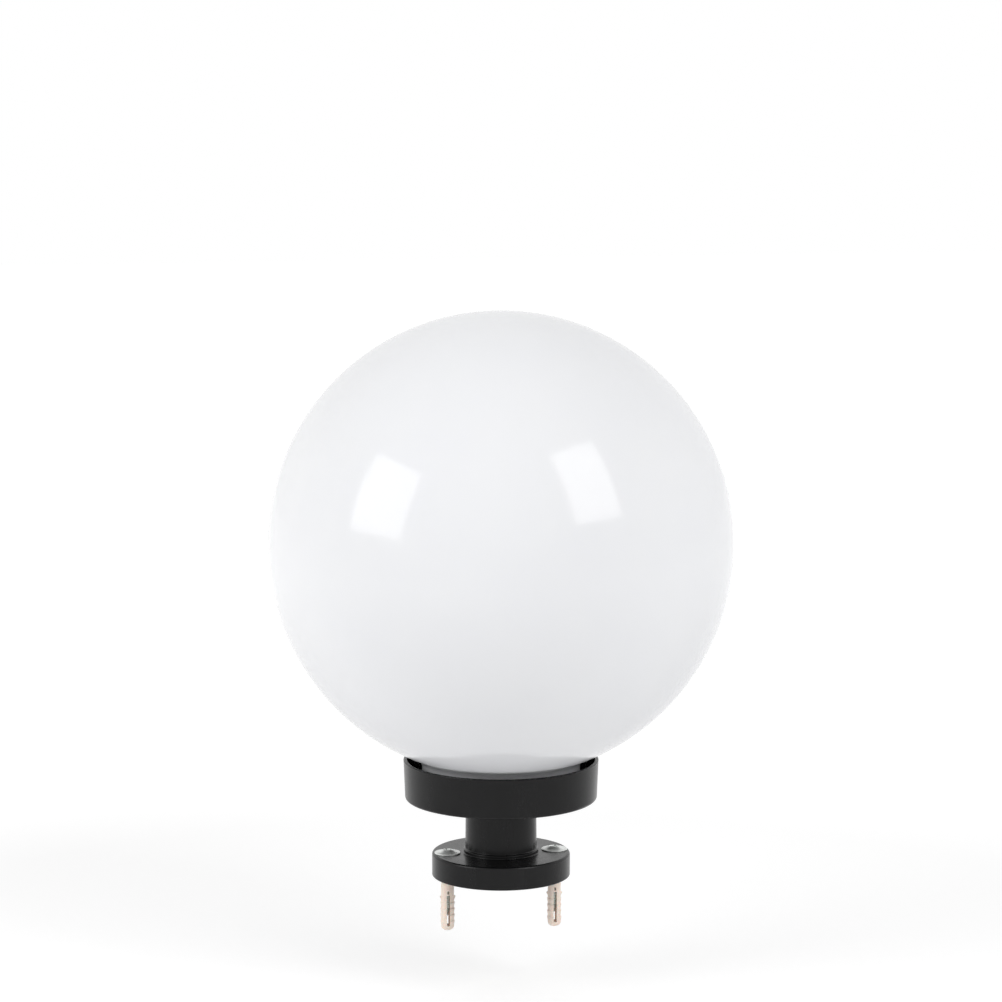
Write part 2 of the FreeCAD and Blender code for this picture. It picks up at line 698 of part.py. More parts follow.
def terminal(side):
    """Brass block in the base's notch, with a strap inward to its rivet."""
    far = HOLDER_RADIUS - TERMINAL_SET_BACK
    near = far - TERMINAL_DEPTH
    half = TERMINAL_WIDTH / 2
    high = WELL_UNDERSIDE
    body = block(side_ends(side, near, far), (-half, half), (HOLDER_BOTTOM + TERMINAL_SET_BACK, high))
    strap = block(
        side_ends(side, CONTACT_PITCH - CONTACT_WIDTH / 2, near + BITE),
        (-CONTACT_WIDTH / 2, CONTACT_WIDTH / 2),
        (high - CONTACT_SHEET, high),
    )
    rivet_hole = disc(RIVET_DIAMETER / 2, high - BEYOND, high + BEYOND, side * CONTACT_PITCH, 0)
    screw_z = (HOLDER_BOTTOM + high) / 2
    screw_hole = Part.makeCylinder(
        TERMINAL_SCREW / 2, TERMINAL_DEPTH + BEYOND, at(side * near, 0, screw_z), at(side, 0, 0)
    )
    return in_place(one_solid(body.fuse(strap).cut([rivet_hole, screw_hole])))


def terminal_screws():
    """Small screws that clamp the wires in the terminal blocks."""
    far, screw_z = HOLDER_RADIUS - TERMINAL_SET_BACK, (HOLDER_BOTTOM + WELL_UNDERSIDE) / 2
    screws = []
    for side in (-1, 1):
        out = at(side, 0, 0)
        inner_end = at(side * (far - TERMINAL_DEPTH), 0, screw_z)
        shank = Part.makeCylinder(TERMINAL_SCREW / 2, TERMINAL_DEPTH, inner_end, out)
        head = Part.makeCylinder(TERMINAL_HEAD / 2, TERMINAL_CAP, at(side * far, 0, screw_z), out)
        screws.append(in_place(one_solid(shank.fuse(head))))
    return Part.makeCompound(screws)


def holder_screws():
    """Two screws inside the well that hold the porcelain down on its bracket."""
    shank, head = HOLDER_SCREW / 2, HOLDER_SCREW_HEAD / 2
    screws = []
    for side in (-1, 1):
        y = side * CONTACT_PITCH
        screw = disc(shank, CUP_FLOOR_TOP, WELL_BOTTOM, 0, y).fuse(
            disc(head, WELL_BOTTOM, WELL_BOTTOM + HOLDER_SCREW_CAP, 0, y)
        )
        screws.append(in_place(one_solid(screw)))
    return Part.makeCompound(screws)


# The post


def post_core():
    """The hollow under the flange, between the tube wall and the rim."""
    high = FLANGE_THICKNESS - FLANGE_PLATE
    near, far = TUBE_BORE_RADIUS + TUBE_WALL + TUBE_TAPER, FLANGE_RADIUS - FLANGE_RIM_WALL
    corners = [(near, -BEYOND, 0), (far, -BEYOND, 0), (far, high, RIB / 2), (near, high, RIB / 2)]
    return turned(outline(corners))


def post():
    """Tapered tube on a round flange that is cored out and ribbed underneath."""
    bead_top = FLANGE_THICKNESS + BEAD_HEIGHT + BEAD_SLOPE
    body = turned(
        outline(
            [
                (TUBE_BORE_RADIUS, 0, 0),
                (FLANGE_RADIUS, 0, MOULDED_EDGE),
                (FLANGE_RADIUS, FLANGE_THICKNESS, FLANGE_ROUND),
                (BEAD_RADIUS, FLANGE_THICKNESS, MOULDED_EDGE),
                (BEAD_RADIUS, FLANGE_THICKNESS + BEAD_HEIGHT, BEAD_ROUND),
                (tube_radius(bead_top), bead_top, BEAD_ROUND),
                (TUBE_TOP_RADIUS, TUBE_TOP, TUBE_WALL * 0.4),
                (TUBE_BORE_RADIUS, TUBE_TOP, TUBE_WALL * 0.4),
            ]
        )
    ).cut(post_core())
    high = FLANGE_THICKNESS - FLANGE_PLATE + BITE
    near = TUBE_BORE_RADIUS + TUBE_WALL
    rib = block(
        (near, FLANGE_RADIUS - FLANGE_RIM_WALL + BITE), (-RIB / 2, RIB / 2), (RIB_RECESS, high)
    )
    ribs = [turned_by(rib, angle) for angle in range(30, 360, 60)]
    bosses = [
        disc(HOLE_DIAMETER / 2 + BOSS_WALL, RIB_RECESS, high, side * HOLE_X) for side in (-1, 1)
    ]
    keep_clear = disc(near, -BEYOND, high + BEYOND)
    body = body.fuse([piece.cut(keep_clear) for piece in ribs + bosses])
    holes = [
        disc(HOLE_DIAMETER / 2, -BEYOND, FLANGE_THICKNESS + BEYOND, side * HOLE_X)
        for side in (-1, 1)
    ]
    return one_solid(body.cut(holes))


# Fixing screws and wall plugs


def fixing_screw(side):
    """Wood screw with a wide domed head, seated on the flange."""
    seat, shank = FLANGE_THICKNESS, SCREW_DIAMETER / 2
    tip = seat - SCREW_LENGTH
    head, dome = SCREW_HEAD_DIAMETER / 2, SCREW_DOME_DIAMETER / 2
    crown = seat + SCREW_HEAD_HEIGHT
    dome_foot = seat + SCREW_HEAD_RIM + SCREW_HEAD_SLOPE
    dome_rise = crown - dome_foot
    dome_radius = (dome**2 + dome_rise**2) / (2 * dome_rise)
    half = math.asin(dome / dome_radius) / 2
    middle = at(dome_radius * math.sin(half), 0, crown - dome_radius * (1 - math.cos(half)))
    corners = [
        at(0, 0, crown),
        at(0, 0, tip),
        at(shank, 0, tip + SCREW_POINT),
        at(shank, 0, seat - SCREW_NECK),
        at(shank * 1.25, 0, seat),
        at(head - SCREW_HEAD_RIM / 3, 0, seat),
        at(head, 0, seat + SCREW_HEAD_RIM),
        at(dome, 0, dome_foot),
    ]
    edges = [Part.LineSegment(a, b).toShape() for a, b in zip(corners, corners[1:])]
    edges.append(Part.Arc(corners[-1], middle, corners[0]).toShape())
    screw = turned(edges)
    screw.translate(at(side * HOLE_X, 0, 0))
    return screw


def plug_wings():
    """Two fins below the slit's top that keep the plug from turning in its hole."""
    low = -PLUG_WING_TOP - PLUG_WING_LENGTH
    reach, root = PLUG_WING_SPAN / 2, PLUG_DIAMETER / 2 - BITE
    shoulder = -PLUG_WING_TOP - PLUG_WING_SLOPE
    points = [at(root, 0, -PLUG_WING_TOP), at(reach, 0, shoulder), at(root, 0, low)]
    fin = Part.Face(Part.makePolygon(points + points[:1])).extrude(at(0, RIB, 0))
    fin.translate(at(0, -RIB / 2, 0))
    return [fin, turned_by(fin, 180)]


def wall_plug(side):
    """Split nylon plug with a collar, fins and barbs, flush with the masonry."""
    radius, collar = PLUG_DIAMETER / 2, PLUG_COLLAR_DIAMETER / 2
    barbed = radius + PLUG_BARB_PROUD
    corners = [
        (0, 0, 0),
        (collar, 0, PLUG_COLLAR_HEIGHT / 5),
        (collar, -PLUG_COLLAR_HEIGHT, 0),
        (radius, -2 * PLUG_COLLAR_HEIGHT, 0),
    ]
    first_barb = PLUG_LENGTH - PLUG_NOSE_ROUND - PLUG_BARBS * PLUG_BARB_PITCH
    for barb in range(PLUG_BARBS):
        top = first_barb + barb * PLUG_BARB_PITCH
        corners.append((radius, -top, 0))
        corners.append((barbed, -top - PLUG_BARB_SLOPE, 0))
        corners.append((radius, -top - PLUG_BARB_PITCH + PLUG_BARB_GAP, 0))
    corners += [(radius, -PLUG_LENGTH, PLUG_NOSE_ROUND), (0, -PLUG_LENGTH, 0)]
    body = turned(outline(corners)).fuse(plug_wings())
    bore = disc(SCREW_DIAMETER / 2 + PLUG_BORE_GAP, -PLUG_SLIT_BOTTOM, BEYOND)
    slit = block(
        (-PLUG_SLIT / 2, PLUG_SLIT / 2), (-collar, collar), (-PLUG_SLIT_BOTTOM, -PLUG_SLIT_TOP)
    )
    notch_low = -PLUG_SLIT_TOP + PLUG_BRIDGE
    notch = block(
        (-PLUG_NOTCH_WIDTH / 2, PLUG_NOTCH_WIDTH / 2),
        (-collar, collar),
        (notch_low, notch_low + PLUG_NOTCH_LENGTH),
    )
    plug = one_solid(body.cut([bore, slit, notch]))
    plug.translate(at(side * HOLE_X, 0, 0))
    return plug


NODES = {
    "globe": globe,
    "globe_seal": globe_seal,
    "fitter_body": fitter_body,
    "holder_cup": holder_cup,
    "cup_screws": cup_screws,
    "holder_bracket": holder_bracket,
    "cable_grommet": cable_grommet,
    "lamp_holder": lamp_holder,
    "screw_shell": screw_shell,
    "centre_contact": centre_contact,
    "contact_rivets": contact_rivets,
    "live_terminal": lambda: terminal(-1),
    "neutral_terminal": lambda: terminal(1),
    "terminal_screws": terminal_screws,
    "holder_screws": holder_screws,
    "lock_screw": lock_screw,
    "lock_washer": lock_washer,
    "lock_insert": lock_insert,
    "post": post,
    "fixing_screw_left": lambda: fixing_screw(-1),
    "fixing_screw_right": lambda: fixing_screw(1),
    "wall_plug_left": lambda: wall_plug(-1),
    "wall_plug_right": lambda: wall_plug(1),
}

os.makedirs("parts", exist_ok=True)
for name, make in NODES.items():
    shape = make()
    shape.exportStep(os.path.join("parts", name + ".step"))
    box = shape.BoundBox
    print(
        f"{name:20s} {len(shape.Solids)} solid {shape.Volume:10.1f} mm3 valid {shape.isValid()}"
        f" x {box.XMin:.1f}..{box.XMax:.1f} z {box.ZMin:.1f}..{box.ZMax:.1f}"
    )
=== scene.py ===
import json
import math

import bpy
import numpy as np
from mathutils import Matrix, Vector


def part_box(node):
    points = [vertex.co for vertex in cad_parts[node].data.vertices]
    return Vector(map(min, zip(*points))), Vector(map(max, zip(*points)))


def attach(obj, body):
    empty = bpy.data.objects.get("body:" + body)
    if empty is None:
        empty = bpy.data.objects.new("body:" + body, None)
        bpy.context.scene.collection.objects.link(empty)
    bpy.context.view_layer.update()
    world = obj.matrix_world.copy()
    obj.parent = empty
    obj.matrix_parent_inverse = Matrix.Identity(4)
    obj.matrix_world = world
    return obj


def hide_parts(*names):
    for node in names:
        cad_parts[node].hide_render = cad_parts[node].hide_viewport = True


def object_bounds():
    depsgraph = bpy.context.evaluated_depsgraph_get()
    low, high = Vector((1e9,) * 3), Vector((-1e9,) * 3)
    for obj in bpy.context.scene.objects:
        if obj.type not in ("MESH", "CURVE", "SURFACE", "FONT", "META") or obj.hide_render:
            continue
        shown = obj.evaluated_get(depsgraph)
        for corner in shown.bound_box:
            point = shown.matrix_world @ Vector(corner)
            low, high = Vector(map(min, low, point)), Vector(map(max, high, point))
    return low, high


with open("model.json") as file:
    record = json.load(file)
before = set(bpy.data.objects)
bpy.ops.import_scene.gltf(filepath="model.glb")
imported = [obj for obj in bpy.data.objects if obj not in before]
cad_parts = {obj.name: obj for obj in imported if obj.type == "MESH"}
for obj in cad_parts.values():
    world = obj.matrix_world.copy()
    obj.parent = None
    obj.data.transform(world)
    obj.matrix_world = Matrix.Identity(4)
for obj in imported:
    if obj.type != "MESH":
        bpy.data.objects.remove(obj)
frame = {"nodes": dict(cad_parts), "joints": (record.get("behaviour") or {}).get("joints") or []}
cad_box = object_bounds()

# A globe light for a garden wall: an opal ball in a dish-shaped fitter with a porcelain lamp
# holder, locked on a short flanged post that two wood screws hold to the masonry. Lengths are in
# metres, and every piece lies where it sits in the assembled light.


# ---- Wall plugs -------------------------------------------------------------------------------
# Split plugs of beige-pink nylon, each moulded in one piece with its collar, fins and barbs. They
# are pushed into drilled holes, and the wood screws spread them there.

NYLON = (0.94, 0.81, 0.71, 1)
NYLON_SHADE = (0.90, 0.75, 0.65, 1)
NYLON_FLOW = 0.004
NYLON_GRAIN = 0.00035
NYLON_RELIEF = 0.00002


class Shade:
    """A socket of a finish. Arithmetic on it adds Math nodes."""

    def __init__(self, finish, socket):
        self.finish = finish
        self.socket = socket

    def maths(self, operation, *values):
        return self.finish.node("ShaderNodeMath", {"operation": operation}, dict(enumerate(values)))

    def __add__(self, other):
        return self.maths("ADD", self, other)

    def __radd__(self, other):
        return self.maths("ADD", other, self)

    def __sub__(self, other):
        return self.maths("SUBTRACT", self, other)

    def __rsub__(self, other):
        return self.maths("SUBTRACT", other, self)

    def __mul__(self, other):
        return self.maths("MULTIPLY", self, other)

    def __rmul__(self, other):
        return self.maths("MULTIPLY", other, self)

    def above(self, edge, softness):
        """0 below the edge and 1 above it, with a straight ramp of that softness between.

        It is the value less the edge, divided by the softness, plus a half, held from 0 to 1.
        """
        settings = {"operation": "MULTIPLY_ADD", "use_clamp": True}
        inputs = {0: self, 1: 1 / softness, 2: 0.5 - edge / softness}
        return self.finish.node("ShaderNodeMath", settings, inputs)


class Finish:
    """The nodes of a material or of the world. Patterns read Object coordinates, at real scale."""

    def __init__(self, holder, output="ShaderNodeOutputMaterial"):
        holder.use_nodes = True
        self.holder = holder
        self.tree = holder.node_tree
        self.tree.nodes.clear()
        self.output = self.tree.nodes.new(output)

    def node(self, kind, settings, inputs, output=0):
        """Any node: its settings first, then the values or links of its sockets."""
        node = self.tree.nodes.new(kind)
        for key, value in settings.items():
            setattr(node, key, value)
        for key, value in inputs.items():
            if isinstance(value, Shade):
                self.tree.links.new(value.socket, node.inputs[key])
            else:
                node.inputs[key].default_value = value
        return Shade(self, node.outputs[output])

    def place(self):
        return self.node("ShaderNodeTexCoord", {}, {}, "Object")

    def height(self):
        return self.node("ShaderNodeSeparateXYZ", {}, {"Vector": self.place()}, "Z")

    def noise(self, grain, detail=2.0, stretch=(1, 1, 1), turn=0.0):
        """Soft random values about 0.5. Blotches are one grain across, times the stretch."""
        scale = tuple(1 / (grain * s) for s in stretch)
        inputs = {"Vector": self.place(), "Rotation": (0, 0, turn), "Scale": scale}
        place = self.node("ShaderNodeMapping", {}, inputs)
        inputs = {"Vector": place, "Scale": 1.0, "Detail": detail}
        return self.node("ShaderNodeTexNoise", {}, inputs)

    def mix(self, factor, first, second):
        """A colour between two colours."""
        inputs = {0: factor, 6: first, 7: second}
        return self.node("ShaderNodeMix", {"data_type": "RGBA"}, inputs, 2)

    def bump(self, height, depth):
        """A relief of that depth in metres where the height goes from 0 to 1."""
        return self.node("ShaderNodeBump", {}, {"Height": height, "Distance": depth})

    def show(self, shader):
        """Sends a shader to the output."""
        self.tree.links.new(shader.socket, self.output.inputs["Surface"])

    def surface(self, sockets):
        self.show(self.node("ShaderNodeBsdfPrincipled", {}, sockets))


def finish(name):
    return Finish(bpy.data.materials.new(name))


def dress(nodes, finish):
    """Gives pieces of the frame their finish."""
    for name in nodes:
        for slot in frame["nodes"][name].material_slots:
            slot.material = finish.holder


nylon = finish("plug_nylon")
flow = nylon.noise(NYLON_FLOW, 3, stretch=(1, 1, 2.5))
grain = nylon.noise(NYLON_GRAIN)
nylon.surface(
    {
        "Base Color": nylon.mix(flow.above(0.5, 0.35), NYLON, NYLON_SHADE),
        "Roughness": 0.38 + 0.16 * grain,
        "Normal": nylon.bump(grain, NYLON_RELIEF),
        "Subsurface Weight": 0.25,
        "Subsurface Radius": (1.0, 0.6, 0.45),
        "Subsurface Scale": 0.0015,
    }
)
dress(["wall_plug_left", "wall_plug_right"], nylon)


# ---- Post and fitter --------------------------------------------------------------------------
# Black plastic, injection moulded with a fine spark-eroded grain and a soft gloss. Faint lighter
# streaks run up and down, partly draw marks from the mould and partly painted highlight, and
# handling leaves small duller clouds.

BLACK = (0.0030, 0.0030, 0.0032, 1)
# Lighter black: handling wear in clouds, and painted highlight in the streaks.
BLACK_WORN_AND_HIGHLIGHT = (0.0065, 0.0065, 0.0068, 1)
MOULD_GRAIN = 0.0005
MOULD_RELIEF = 0.000012
DRAW_MARK_AND_HIGHLIGHT = 0.005
HANDLING = 0.018

moulding = finish("black_moulding")
grain = moulding.noise(MOULD_GRAIN, 3)
clouds = moulding.noise(HANDLING, 4)
# Lighter streaks up and down: partly draw marks, partly painted highlight.
marks_and_painted_highlight = moulding.noise(DRAW_MARK_AND_HIGHLIGHT, 3, stretch=(1, 1, 12)).above(0.56, 0.40)
wear_and_painted_highlight = 0.6 * clouds.above(0.52, 0.30) + 0.4 * marks_and_painted_highlight
moulding.surface(
    {
        "Base Color": moulding.mix(wear_and_painted_highlight, BLACK, BLACK_WORN_AND_HIGHLIGHT),
        "Roughness": 0.17 + 0.10 * clouds + 0.04 * grain + 0.05 * marks_and_painted_highlight,
        "Normal": moulding.bump(grain, MOULD_RELIEF),
        "Specular IOR Level": 0.22,
    }
)
dress(["post", "fitter_body", "holder_cup"], moulding)


# ---- Rubber pieces ----------------------------------------------------------------------------
# The ring under the ball's lip, the cable inlet in the cup's floor and the washer under the lock
# screw's head are moulded from soft black rubber, dull and faintly dusty.

RUBBER = (0.012, 0.012, 0.012, 1)
RUBBER_DUST = (0.030, 0.029, 0.028, 1)
DUST_CLOUD = 0.003
RUBBER_GRAIN = 0.0003
RUBBER_RELIEF = 0.00003

rubber = finish("black_rubber")
bloom = rubber.noise(DUST_CLOUD, 4)
grain = rubber.noise(RUBBER_GRAIN)
rubber.surface(
    {
        "Base Color": rubber.mix(bloom.above(0.55, 0.3), RUBBER, RUBBER_DUST),
        "Roughness": 0.62 + 0.2 * bloom,
        "Normal": rubber.bump(grain, RUBBER_RELIEF),
        "Specular IOR Level": 0.3,
    }
)
dress(["globe_seal", "cable_grommet", "lock_washer"], rubber)


# ---- Fixing screws ----------------------------------------------------------------------------
# Wood screws of zinc-plated steel with a wide domed head and a cross recess. The cold formed head's
# colour is painted lighter, as painted light, and the thread's darker, as painted shade, with clouds
# of a faint green-grey cast in the plating of the coarse rolled thread.

# The head's colour is painted lighter (painted light) and the thread's darker (painted shade).
ZINC_PAINTED_LIGHT_HEAD = (0.86, 0.88, 0.86, 1)
ZINC_PAINTED_SHADE_THREAD = (0.58, 0.62, 0.59, 1)
ZINC_CAST = (0.42, 0.49, 0.45, 1)
CAST_CLOUD = 0.004
ZINC_GRAIN = 0.00025
ZINC_RELIEF = 0.000008
HEAD_BLEND = 0.0004  # height over which the head's painted lighter tone begins, at its underside
THREAD_PITCH = 0.0026
THREAD_WIDTH = 0.76  # share of the pitch that the ridge's foot takes
THREAD_CORE = 0.00155
THREAD_CREST = 0.0020
THREAD_FADE = 0.0012
SHANK_RADIUS = 0.00175
SHANK_ROWS = 240
SHANK_START = 0.0001  # below the end of the neck
NECK_RADIUS = 0.0024
NECK_LENGTH = 0.003
NECK_ROWS = 14
POINT_LENGTH = 0.006
POINT_BLUNT = 0.02  # share of the shank that the point keeps
HEAD_HEIGHT = 0.0024
RIM_HEIGHT = 0.0005
RIM_ROUND = 0.0001
DOME_RADIUS = 0.0045
DOME_DROP = 0.0014  # from the crown down to where the dome meets the rim
DOME_ROWS = 48
DOME_START = 0.01  # share of its radius at which the first row lies
RECESS_REACH = 0.0026
RECESS_DEPTH = 0.0016
RECESS_ARM = 0.00062
RECESS_ROOT = 1.25  # half width of an arm at the middle, in arms
RECESS_TAPER = 0.5  # how much of it is gone at the arm's end
RECESS_WALL = 0.25  # width of the sloping wall, in arms and, at the arm's end, in reaches
SCREW_SIDES = 144
SHARP_ANGLE = math.radians(38)  # edges that fold by more stay crisp


def turns(sides):
    """Angles round the axis, one for each side."""
    return np.linspace(0, 2 * np.pi, sides, endpoint=False)


def round_rows(radius, height, sides):
    """Rows of points round Z: X and Y are the radius times the angle's cosine and sine.

    Radius and height may change along the rows and round the axis.
    """
    angle = turns(sides)
    radius, height = np.broadcast_arrays(radius, height + 0 * angle)
    return np.stack([radius * np.cos(angle), radius * np.sin(angle), height], axis=-1)


def skin(rows, closed=False):
    """The closed surface over rows of points that run round: points, quads and triangles.

    Each point joins the next one round and the same one in the next row. A fan about its middle
    shuts the first and the last row, or, if closed is set, the last row joins the first. The sum
    of each face's box product with the origin is six times the volume, and its sign says which way
    the faces turn.
    """
    count, sides = rows.shape[:2]
    points = rows.reshape(-1, 3)
    here = np.arange(count * sides).reshape(count, sides)
    ahead = np.roll(here, -1, axis=1)
    above, above_ahead = np.roll(here, -1, axis=0), np.roll(ahead, -1, axis=0)
    joined = count if closed else count - 1
    quads = np.stack([here, ahead, above_ahead, above], axis=-1)[:joined].reshape(-1, 4)
    a, b, c, d = (points[quads[:, k]] for k in range(4))
    volume = (np.cross(b - a, c - a) * a).sum() + (np.cross(c - a, d - a) * a).sum()
    fans = np.empty((0, 3), int)
    if not closed:
        middles = len(points) + np.arange(2)[:, None] + np.zeros(sides, int)
        points = np.vstack([points, rows[[0, -1]].mean(axis=1)])
        first = np.stack([ahead[0], here[0], middles[0]], axis=-1)
        last = np.stack([here[-1], ahead[-1], middles[1]], axis=-1)
        fans = np.vstack([first, last])
    order = 1 if volume > 0 else -1
    return points, quads[:, ::order], fans[:, ::order]


def piece(name, shells, finish, body, node):
    """One mesh object from closed surfaces, riding on a body in place of a piece of the frame."""
    points = np.vstack([shell[0] for shell in shells])
    starts = np.cumsum([0] + [len(shell[0]) for shell in shells])
    quads = np.vstack([shell[1] + start for shell, start in zip(shells, starts)])
    fans = np.vstack([shell[2] + start for shell, start in zip(shells, starts)])
    mesh = bpy.data.meshes.new(name)
    mesh.from_pydata(points.tolist(), [], quads.tolist() + fans.tolist())
    mesh.shade_smooth()
    mesh.set_sharp_from_angle(angle=SHARP_ANGLE)
    mesh.materials.append(finish.holder)
    made = bpy.data.objects.new(name, mesh)
    bpy.context.scene.collection.objects.link(made)
    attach(made, body)
    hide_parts(node)


def crossed(radius, sides, reach, arm):
    """1 inside a cross of four tapered arms, 0 outside, over rings of the given radii.

    The radius times half the sine of twice the angle is the distance from the nearer arm's middle
    line. A straight ramp runs from 0 to 1 where that passes the arm's half width, and another where
    the radius passes the arm's end.
    """
    across = radius * np.abs(np.sin(2 * turns(sides))) / 2
    half = arm * (RECESS_ROOT - RECESS_TAPER * radius / reach)
    wall = np.clip((half - across) / (RECESS_WALL * arm) + 0.5, 0, 1)
    return wall * np.clip((reach - radius) / (RECESS_WALL * reach), 0, 1)


def crowned_head(crown, radius, drop, reach, depth, arm, sides):
    """A crown with a cross recess, from near its middle out to the foot of the dome.

    The dome is the cap of a ball that is that wide and drops that far. Squares of radius and drop,
    added and divided by twice the drop, give the ball's radius, and the cross is sunk into it.
    """
    ring = np.linspace(DOME_START, 1, DOME_ROWS)[:, None] * radius
    ball = (radius**2 + drop**2) / (2 * drop)
    dome = crown - ball + np.sqrt(ball**2 - ring**2)
    return ring, dome - depth * crossed(ring, sides, reach, arm)


def wood_thread(height, top, tip, sides):
    """Radius of a shank with a rolled ridge that winds down it and runs out at the point.

    The ridge is a triangle wave of the height in pitches, less the angle in turns. It stands on a
    core that narrows below the neck, and both shrink in proportion towards the tip.
    """
    cone = np.clip((height - tip) / POINT_LENGTH, POINT_BLUNT, 1)
    start = np.clip((top - height) / THREAD_FADE, 0, 1)
    core = (SHANK_RADIUS + (THREAD_CORE - SHANK_RADIUS) * start) * cone
    phase = (height / THREAD_PITCH - turns(sides) / (2 * np.pi)) % 1
    ridge = np.clip(1 - np.abs(phase - 0.5) / (THREAD_WIDTH / 2), 0, 1)
    return core + (THREAD_CREST * cone - core) * ridge * start


def lathe(profile, sides):
    """Rows of points for stretches of a profile, each with its radii and its heights."""
    return np.vstack([round_rows(radius, height, sides) for radius, height in profile])


def fixing_screw(node):
    """Crown, rim, flat underside, neck and threaded shank as one skin.

    The neck flares by the square of the way up to the head.
    """
    low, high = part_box(node)
    head, crown, tip = (high.x - low.x) / 2, high.z, low.z
    seat = crown - HEAD_HEIGHT
    dome = crowned_head(
        crown, DOME_RADIUS, DOME_DROP, RECESS_REACH, RECESS_DEPTH, RECESS_ARM, SCREW_SIDES
    )
    top_round, foot_round = 1.2 * RIM_ROUND, 1.5 * RIM_ROUND
    rim_radius = np.array([head - RIM_ROUND, head, head, head - foot_round, NECK_RADIUS])[:, None]
    rim_height = seat + np.array([RIM_HEIGHT + top_round, RIM_HEIGHT, foot_round, 0, 0])[:, None]
    fall = np.linspace(0, 1, NECK_ROWS)[1:, None]
    neck_radius = SHANK_RADIUS + (NECK_RADIUS - SHANK_RADIUS) * (1 - fall) ** 2
    neck_height = seat - NECK_LENGTH * fall
    top = seat - NECK_LENGTH
    shank_height = np.linspace(top - SHANK_START, tip, SHANK_ROWS)[:, None]
    shank_radius = wood_thread(shank_height, top, tip, SCREW_SIDES)
    rows = lathe(
        [
            dome,
            (rim_radius, rim_height),
            (neck_radius, neck_height),
            (shank_radius, shank_height),
        ],
        SCREW_SIDES,
    )
    return skin(rows + np.array([(low.x + high.x) / 2, 0, 0]))


zinc = finish("zinc_steel")
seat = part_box("fixing_screw_left")[1].z - HEAD_HEIGHT
# 1 on the head, whose colour is painted lighter as painted light.
painted_light_head = zinc.height().above(seat, HEAD_BLEND)
cast = zinc.noise(CAST_CLOUD, 3)
grain = zinc.noise(ZINC_GRAIN, 2)
thread_shade_and_cast = zinc.mix(cast.above(0.5, 0.4), ZINC_PAINTED_SHADE_THREAD, ZINC_CAST)
zinc.surface(
    {
        # Painted light on the head and painted shade on the thread, chosen by height.
        "Base Color": zinc.mix(painted_light_head, thread_shade_and_cast, ZINC_PAINTED_LIGHT_HEAD),
        "Metallic": 0.70,
        "Roughness": 0.38 - 0.10 * painted_light_head + 0.10 * cast + 0.06 * grain,
        "Normal": zinc.bump(grain, ZINC_RELIEF),
    }
)
for side in ("left", "right"):
    node = f"fixing_screw_{side}"
    piece(f"wood_screw_{side}", [fixing_screw(node)], zinc, node, node)


# ---- Lock screw -------------------------------------------------------------------------------
# A slotted screw turned from brass bar, which bites on the post through a brass bush moulded into
# the fitter. The lathe leaves fine rings about its axis, and the brass has begun to brown.

BRASS = (0.78, 0.64, 0.47, 1)
BRASS_BROWN = (0.45, 0.31, 0.20, 1)
BROWN_CLOUD = 0.0025
TOOL_RING = 0.00012
TOOL_RELIEF = 0.000006
LOCK_SCREW_ANGLE = math.radians(-16)


def brass_finish(name, turn, stretch):
    """Brass with tool rings across the stretched direction, and a brown film in clouds."""
    brass = finish(name)
    film = brass.noise(BROWN_CLOUD, 4)
    rings = brass.noise(TOOL_RING, 1, stretch, turn)
    brass.surface(
        {
            "Base Color": brass.mix(0.7 * film.above(0.56, 0.25), BRASS, BRASS_BROWN),
            "Metallic": 1.0,
            "Roughness": 0.16 + 0.22 * film + 0.05 * rings,
            "Normal": brass.bump(rings, TOOL_RELIEF),
        }
    )
    return brass


turned_brass = brass_finish("turned_brass", -LOCK_SCREW_ANGLE, (1, 60, 60))
dress(["lock_screw", "lock_insert"], turned_brass)


# ---- Bracket and its screws -------------------------------------------------------------------
# A pressed steel disc with two ears carries the porcelain. Small zinc-plated machine screws with
# cross recesses hold it, the porcelain and the wires.

FINE_SIDES = 64
FINE_PITCH = 0.0007
FINE_ROWS = 160
FINE_POINT = 0.3  # share of the shank that its tip keeps
# Shares of the head's height: how far the dome drops, and how deep the recess is.
FINE_DROP = 0.45
FINE_DEPTH = 0.6
# Shares of the head's radius: the dome, the recess's arm, its half width, and the underside.
FINE_DOME = 0.93
FINE_REACH = 0.6
FINE_ARM = 0.13
FINE_UNDER = 0.97
# Shares of the dome's drop: how far the head's edge lies below the crown, and above the seat.
FINE_EDGE_TOP = 1.2
FINE_EDGE_FOOT = 0.15
EAR_SCREW = {"head": 0.0030, "rise": 0.0021, "core": 0.00112, "crest": 0.00134}
PORCELAIN_SCREW = {"head": 0.0027, "rise": 0.0015, "core": 0.00125, "crest": 0.00150}
CLAMP_SCREW = {"rise": 0.0014, "length": 0.004, "core": 0.00125, "crest": 0.00150}


def machine_screw(head, crown, rise, tip, core, crest):
    """A small screw about Z: crowned head with a cross recess, and a fine rolled thread.

    The thread is a cosine wave of the height in pitches, less the angle in turns, between the
    core and the crest. It shrinks over the last core's width above the tip.
    """
    seat, drop = crown - rise, FINE_DROP * rise
    dome = crowned_head(
        crown, FINE_DOME * head, drop, FINE_REACH * head, FINE_DEPTH * rise, FINE_ARM * head, FINE_SIDES
    )
    edge_top, edge_foot = crown - FINE_EDGE_TOP * drop, seat + FINE_EDGE_FOOT * drop
    edge_radius = head * np.array([1, 1, FINE_UNDER])[:, None]
    edge_height = np.array([edge_top, edge_foot, seat])[:, None]
    height = np.linspace(seat, tip, FINE_ROWS)[:, None]
    wave = 0.5 - 0.5 * np.cos(2 * np.pi * height / FINE_PITCH - turns(FINE_SIDES))
    point = np.clip((height - tip) / (2 * core), FINE_POINT, 1)
    shank_radius = (core + (crest - core) * wave) * point
    return lathe([dome, (edge_radius, edge_height), (shank_radius, height)], FINE_SIDES)


